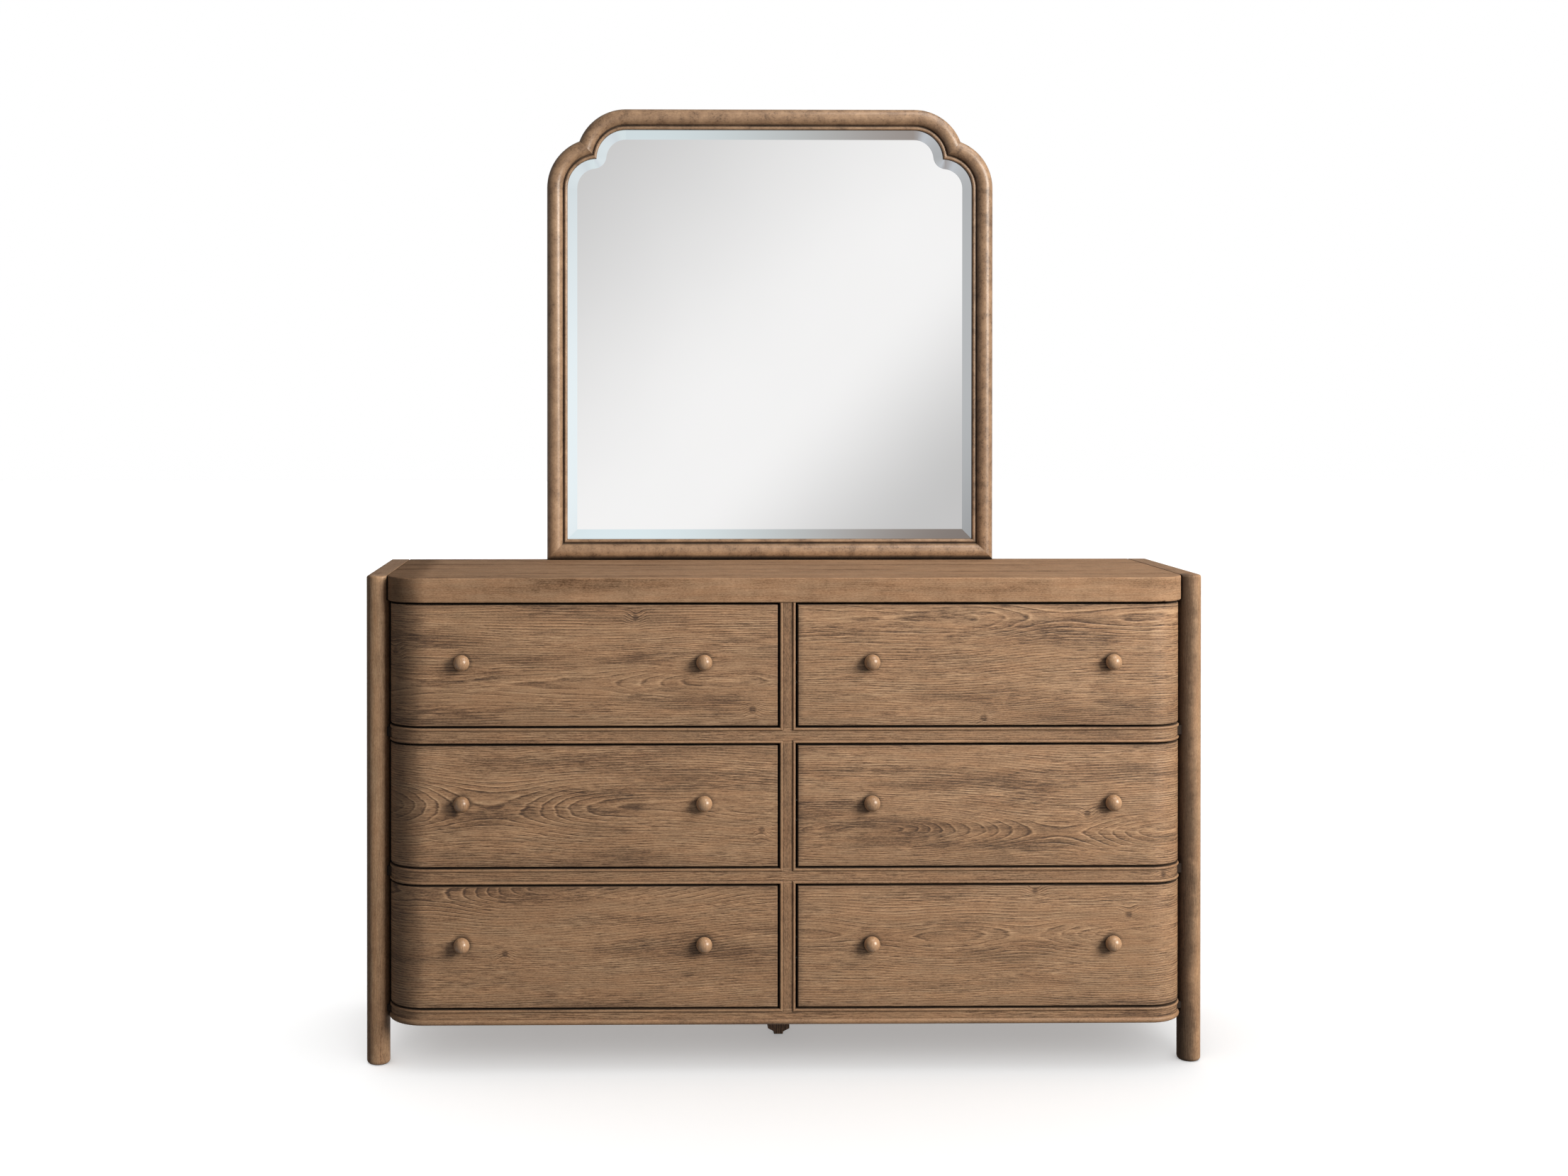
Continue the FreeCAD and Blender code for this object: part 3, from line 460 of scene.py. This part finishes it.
def fibreboard(name):
    look = boardLook
    material, tree = newTree(name)
    place = objectPlace(tree)
    light, dark = solid(look["light"]), solid(look["dark"])
    fibres = noise(tree, place, *look["fibres"])
    cloud = noise(tree, place, *look["cloud"])
    colour = blendColours(tree, rampOf(tree, fibres, *look["fibreFade"]), dark, light)
    colour = blendColours(tree, rampOf(tree, cloud, *look["cloudFade"]), colour, dark)
    finishWith(tree, "BsdfPrincipled", {
        "Base Color": colour, "Roughness": look["roughness"],
        "Normal": bumpOf(tree, fibres, look["relief"], look["reliefDepth"])})
    return material


padLook = {
    "dark": 0.012, "light": 0.035, "mottle": ((300.0, 300.0, 300.0), 3.0),
    "roughness": 0.55, "relief": 0.3, "reliefDepth": 0.0002,
}


def plastic(name):
    look = padLook
    material, tree = newTree(name)
    mottle = noise(tree, objectPlace(tree), *look["mottle"])
    finishWith(tree, "BsdfPrincipled", {
        "Base Color": blendColours(tree, mottle, grey(look["dark"]), grey(look["light"])),
        "Roughness": look["roughness"],
        "Normal": bumpOf(tree, mottle, look["relief"], look["reliefDepth"])})
    return material


def paint(node, material):
    mesh = nodes[node].data
    mesh.materials.clear()
    mesh.materials.append(material)


def seedFor(index, steps, start=0.0):
    return (steps[0] * index + start, steps[1] * index, steps[2] * index)


def retint(red, green, blue):
    return [(stop[0] * red, stop[1] * green, stop[2] * blue) for stop in timberDefaults["palette"]]


# the case and the mirror frame
plain = {"knots": 0.0, "lines": 0.10, "blotches": 0.2, "relief": 0.3, "streaks": 0.16, "cloud": 0.5}
railEndShade = ("X", 0.7880, 0.7895, 1.0)       # painted shade where a rail meets its post, in the dark gap beside it
leftBendShade = ("x", -0.700, -0.744, 0.40)      # painted shade on the bend at the left of every piece, which turns away from the lamps
railTimber = {"knots": 0.3, "lines": 0.55, "level": 0.48, "depth": 0.12, "levelEdges": True,
              "shades": [railEndShade, leftBendShade]}
topRailTimber = dict(plain, grain="yxz", roughness=0.42, shine=0.1)
frameTimber = dict(plain, level=0.53, lines=0.0, streaks=0.08, mottle=0.14, speckle=0.35, blotches=0.0,
                   cloud=1.3, tinge=0.1, roughness=0.36, shine=0.6, palette=retint(0.96, 1.02, 1.10))
caseTimber = {
    "top_board": {"grain": "xyz", "uprightEdges": True, "palette": retint(1.0, 1.02, 1.08),
                  "level": 0.60, "lines": 0.18, "streaks": 0.20, "mottle": 0.6, "blotches": 0.3,
                  "cloud": 0.5, "knots": 0.0, "roughness": 0.66, "shine": 0.08,
                  # painted shade on the bend at its left end
                  "shades": [("x", -0.712, -0.752, 0.42)]},
    "end_top_rail_left": topRailTimber,
    "end_top_rail_right": topRailTimber,
    # painted light and shade: the left post is painted paler than the right, and each is darker on one
    # edge, the left post at its outer edge and the right one at its inner side, glaze with painted shade
    "front_post_left": dict(plain, grain="zxy", level=0.76, streaks=0.4, glazeAndShadeReach=0.003,
                            shades=[("x", -0.826, -0.832, 0.5)]),
    "front_post_right": dict(plain, grain="zxy", level=0.68, streaks=0.4, glazeAndShadeReach=0.004,
                             shades=[("x", 0.838, 0.806, 0.78)]),
    "rear_posts": dict(plain, grain="zxy"),
    "rail_bottom": dict(railTimber, level=0.54),
    "rail_lower": railTimber,
    "rail_upper": railTimber,
    # glaze in the joint and painted shade: darker where the face meets the beads
    "centre_stile": dict(plain, grain="zxy", level=0.43, shades=[("X", 0.0076, 0.0096, 0.85)]),
    "bead_strips": dict(plain, stileBeads=0.0156, stileFoot=0.118, depth=0.12, shades=[leftBendShade]),
    "end_panels": {"grain": "zyx"},
    "end_lower_rails": {"grain": "yzx", "knots": 0.2},
    "back_rails": {"knots": 0.5},
    "centre_partition": {"grain": "yzx"},
    "bottom_panel": {"grain": "xyz"},
    "slide_mounting_rails": {"grain": "yzx"},
    "centre_foot": {"grain": "zxy", "knots": 0.0, "level": 0.2},
    # painted light and shade: the two stiles are one wood, the left painted paler and the right darker
    "mirror_stile_left": dict(frameTimber, grain="zxy", level=0.62),
    "mirror_stile_right": dict(frameTimber, grain="zxy", level=0.46),
    "mirror_top_rail": frameTimber,
    "mirror_bottom_rail": frameTimber,
    "mirror_corners": dict(frameTimber, grain="corner"),
    "mirror_supports": {"grain": "zxy", "palette": [(0.012, 0.008, 0.006), (0.03, 0.018, 0.012),
                                                    (0.055, 0.034, 0.022), (0.09, 0.055, 0.035)]},
}
caseSeeds = (1.73, 0.91, 0.37)
for index, (node, changes) in enumerate(caseTimber.items()):
    seed = seedFor(index, caseSeeds)
    paint(node, timber("pine " + node.replace("_", " "), seed=seed, **changes))
print("case and frame painted")

# the drawers
drawers = {
    # the height of the ring tongues on each front
    "hearts": {"left_top": 0.749, "left_middle": 0.504, "left_bottom": 0.350,
               "right_top": 0.875, "right_middle": 0.461, "right_bottom": 0.250},
    "seeds": (2.31, 1.17, 0.53),
    "firstSeed": 0.4,
    # darkening along each front's edges by the gaps, glaze with painted shade: how far each shade runs
    # in from its edge, and its strength
    "headShade": (0.012, 0.28),
    "footShade": (0.028, 0.22),
    "stileShade": {"left": (0.010, 0.15), "right": (0.016, 0.35)},
}
frontTimber = {"depth": 0.12, "levelEdges": True}
knobTimber = {"grain": "zxy", "level": 0.78, "lines": 0.2, "streaks": 0.15, "blotches": 0.35,
              "knots": 0.0, "relief": 0.1, "roughness": 0.34, "shine": 0.6}
boxTimber = {"palette": [(0.30, 0.20, 0.11), (0.42, 0.30, 0.18), (0.52, 0.38, 0.23), (0.62, 0.47, 0.30)],
             "lines": 0.4, "streaks": 0.2, "blotches": 0.2, "knots": 0.2, "glazeAndShadeAmount": 0.25,
             "boxBoards": True}


def frontEdges(node):
    piece = nodes[node]
    points = [piece.matrix_world @ vertex.co for vertex in piece.data.vertices]
    heights = [point.z for point in points]
    return min(heights), max(heights), min(abs(point.x) for point in points)


for index, (place, heart) in enumerate(drawers["hearts"].items()):
    prefix = "drawer_" + place
    side = place.split("_")[0]
    words = prefix.replace("_", " ")
    seed = seedFor(index, drawers["seeds"], drawers["firstSeed"])
    low, high, inner = frontEdges(prefix + "_front")
    headWidth, headStrength = drawers["headShade"]
    footWidth, footStrength = drawers["footShade"]
    stileWidth, stileStrength = drawers["stileShade"][side]
    # glaze and painted shade along the top, bottom and inner edges of the front, and painted shade on
    # the left bend
    shades = [("z", high - headWidth, high, headStrength),
              ("z", low + footWidth, low, footStrength),
              ("X", inner + stileWidth, inner, stileStrength)]
    if side == "left":
        shades.append(leftBendShade)
    front = timber("pine " + words + " front", seed=seed, heart=heart, shades=shades, **frontTimber)
    paint(prefix + "_front", front)
    paint(prefix + "_knobs", timber("pine " + words + " knobs", seed=seed, **knobTimber))
    paint(prefix + "_box", timber("box wood " + words, seed=seed, **boxTimber))

# metal, glass, board and plastic
slideSteel = steel("slide steel")
for name in nodes:
    if name.endswith(("_slides", "_screws")):
        paint(name, slideSteel)
paint("mirror_glass", silvered("mirror silver"))
paint("mirror_backing", fibreboard("backing board"))
paint("back_panel", fibreboard("back panel board"))
paint("foot_pad", plastic("pad plastic"))
print("all pieces painted with", len(bpy.data.materials), "materials")

# the lamps for the furniture; fill and back show in no reflection
lamps = {
    "key": {"place": (3.65, -3.45, 2.65), "aim": (0.1, -0.2, 0.75), "size": (2.5, 2.5),
            "power": 325.0, "tint": (1.0, 0.96, 0.885), "reflected": True},
    "top": {"place": (1.2, -0.6, 3.6), "aim": (0.2, 0.0, 0.9), "size": (2.2, 1.4),
            "power": 34.0, "tint": (1.0, 1.0, 1.0), "reflected": True},
    "fill": {"place": (-2.9, -2.5, 1.2), "aim": (-0.7, -0.2, 0.5), "size": (1.6, 1.6),
             "power": 9.0, "tint": (1.0, 1.0, 1.0), "reflected": False},
    # below the top, so it lights the back alone
    "back": {"place": (1.2, 3.7, 0.9), "aim": (0.1, 0.2, 0.9), "size": (2.4, 1.2),
             "power": 85.0, "tint": (1.0, 1.0, 1.0), "reflected": False},
}


def setLamp(name, look):
    data = bpy.data.lights.new(name, "AREA")
    data.shape = "RECTANGLE"
    data.size, data.size_y = look["size"]
    data.energy = look["power"]
    data.color = look["tint"]
    lamp = bpy.data.objects.new(name, data)
    bpy.context.scene.collection.objects.link(lamp)
    lamp.location = look["place"]
    x, y, z = [aim - place for aim, place in zip(look["aim"], look["place"])]
    yaw = math.atan2(y, x) - math.pi / 2
    pitch = math.atan2(z, math.hypot(x, y)) + math.pi / 2
    lamp.rotation_euler = (pitch, 0.0, yaw)
    lamp.visible_glossy = look["reflected"]
    return lamp


furnitureLamps = [setLamp(name, look) for name, look in lamps.items()]

floorLook = {
    "reach": 30.0,
    "glow": 0.29,
    "white": (0.93, 0.95),
    "mottle": ((3.0, 3.0, 3.0), 3.0),
    "roughness": 0.9,
    # broad lights for the floor alone: strength, spread, lean towards the front
    "lights": [(2.32, 3.1, 0.0), (0.89, 0.9, 1.15)],
}
bpy.ops.mesh.primitive_plane_add(size=2 * floorLook["reach"])
floor = bpy.context.active_object
floor.name = "floor"
floorPaper, tree = newTree("floor paper")
paperMottle = noise(tree, objectPlace(tree), *floorLook["mottle"])
paperWhite = blendColours(tree, paperMottle, *[grey(level) for level in floorLook["white"]])
finishWith(tree, "BsdfPrincipled", {
    "Base Color": paperWhite, "Roughness": floorLook["roughness"], "Specular IOR Level": 0.0,
    "Emission Color": grey(1.0), "Emission Strength": floorLook["glow"]})
floor.data.materials.append(floorPaper)
floor.visible_diffuse = False
floor.visible_glossy = False

# the lamps for the furniture leave out the floor, which has its own, and the glass
floorOnly = bpy.data.collections.new("floor only")
floorOnly.objects.link(floor)
leftOut = bpy.data.collections.new("all but floor and glass")
leftOut.objects.link(floor)
leftOut.objects.link(nodes["mirror_glass"])
for member in leftOut.collection_objects:
    member.light_linking.link_state = "EXCLUDE"
for lamp in furnitureLamps:
    lamp.light_linking.receiver_collection = leftOut
for strength, spread, lean in floorLook["lights"]:
    data = bpy.data.lights.new("floor light", "SUN")
    data.energy = strength
    data.angle = spread
    floorLamp = bpy.data.objects.new("floor light", data)
    bpy.context.scene.collection.objects.link(floorLamp)
    floorLamp.rotation_euler = (lean, 0.0, 0.0)
    floorLamp.light_linking.receiver_collection = floorOnly

# the world is white to the eye, dim as a light, and grey in reflections
room = {"ambient": 0.085, "reflected": 0.25, "reflectedBelow": 0.55, "horizon": (0.02, -0.22)}
world = bpy.data.worlds.new("studio")
bpy.context.scene.world = world
world.use_nodes = True
tree = world.node_tree
tree.nodes.clear()
rays = add(tree, "LightPath").outputs
outward = separate(tree, add(tree, "TexCoord").outputs["Generated"])
reflected = rampOf(tree, outward[2], *room["horizon"], room["reflected"], room["reflectedBelow"])
reflected = combine(tree, reflected, reflected, reflected)
ambient = blendColours(tree, rays["Is Glossy Ray"], grey(room["ambient"]), reflected)
backdrop = blendColours(tree, rays["Is Camera Ray"], ambient, grey(1.0))
background = add(tree, "Background", {"Color": backdrop, "Strength": 1.0})
tree.links.new(background.outputs[0], add(tree, "OutputWorld").inputs[0])

# a tall card stands behind the camera, and only reflections see it
card = {"centre": (0.62, -6.0, 1.75), "size": 5.0, "bright": 0.93, "edge": 0.57,
        "upperFade": (-0.1, 1.9, 1.0, 0.0), "lowerFade": (-1.3, -0.3, 0.0, 1.0)}
bpy.ops.mesh.primitive_plane_add(size=card["size"])
reflector = bpy.context.active_object
reflector.name = "reflector card"
reflector.data.transform(Matrix.Rotation(math.pi / 2, 4, "X"))
reflector.data.transform(Matrix.Translation(card["centre"]))
cardPaper, tree = newTree("reflector card")
cardPlace = separate(tree, objectPlace(tree))
rise = calc(tree, "SUBTRACT", cardPlace[2], card["centre"][2])
run = calc(tree, "SUBTRACT", cardPlace[0], card["centre"][0])
slanting = calc(tree, "MULTIPLY", calc(tree, "SUBTRACT", rise, run), diagonal)
band = calc(tree, "MULTIPLY", rampOf(tree, slanting, *card["upperFade"]),
            rampOf(tree, slanting, *card["lowerFade"]))
cardLevel = calc(tree, "MULTIPLY_ADD", band, card["bright"] - card["edge"], card["edge"])
cardColour = combine(tree, cardLevel, cardLevel, cardLevel)
finishWith(tree, "Emission", {"Color": cardColour, "Strength": 1.0})
reflector.data.materials.append(cardPaper)
reflector.visible_camera = False
reflector.visible_diffuse = False
reflector.visible_shadow = False
print("studio set")

camera = {"place": (-0.324, -3.972, 1.315), "tilt": -0.0058, "turn": -0.0130,
          "lens": 43.61, "sensor": 36.0, "shift": (0.0865, -0.1082)}
cameraData = bpy.data.cameras.new("camera")
cameraData.lens = camera["lens"]
cameraData.sensor_width = camera["sensor"]
cameraData.shift_x, cameraData.shift_y = camera["shift"]
cameraObject = bpy.data.objects.new("camera", cameraData)
bpy.context.scene.collection.objects.link(cameraObject)
cameraObject.location = camera["place"]
cameraObject.rotation_euler = (math.pi / 2 + camera["tilt"], 0.0, camera["turn"])
bpy.context.scene.camera = cameraObject
bpy.context.scene.view_settings.view_transform = "Standard"
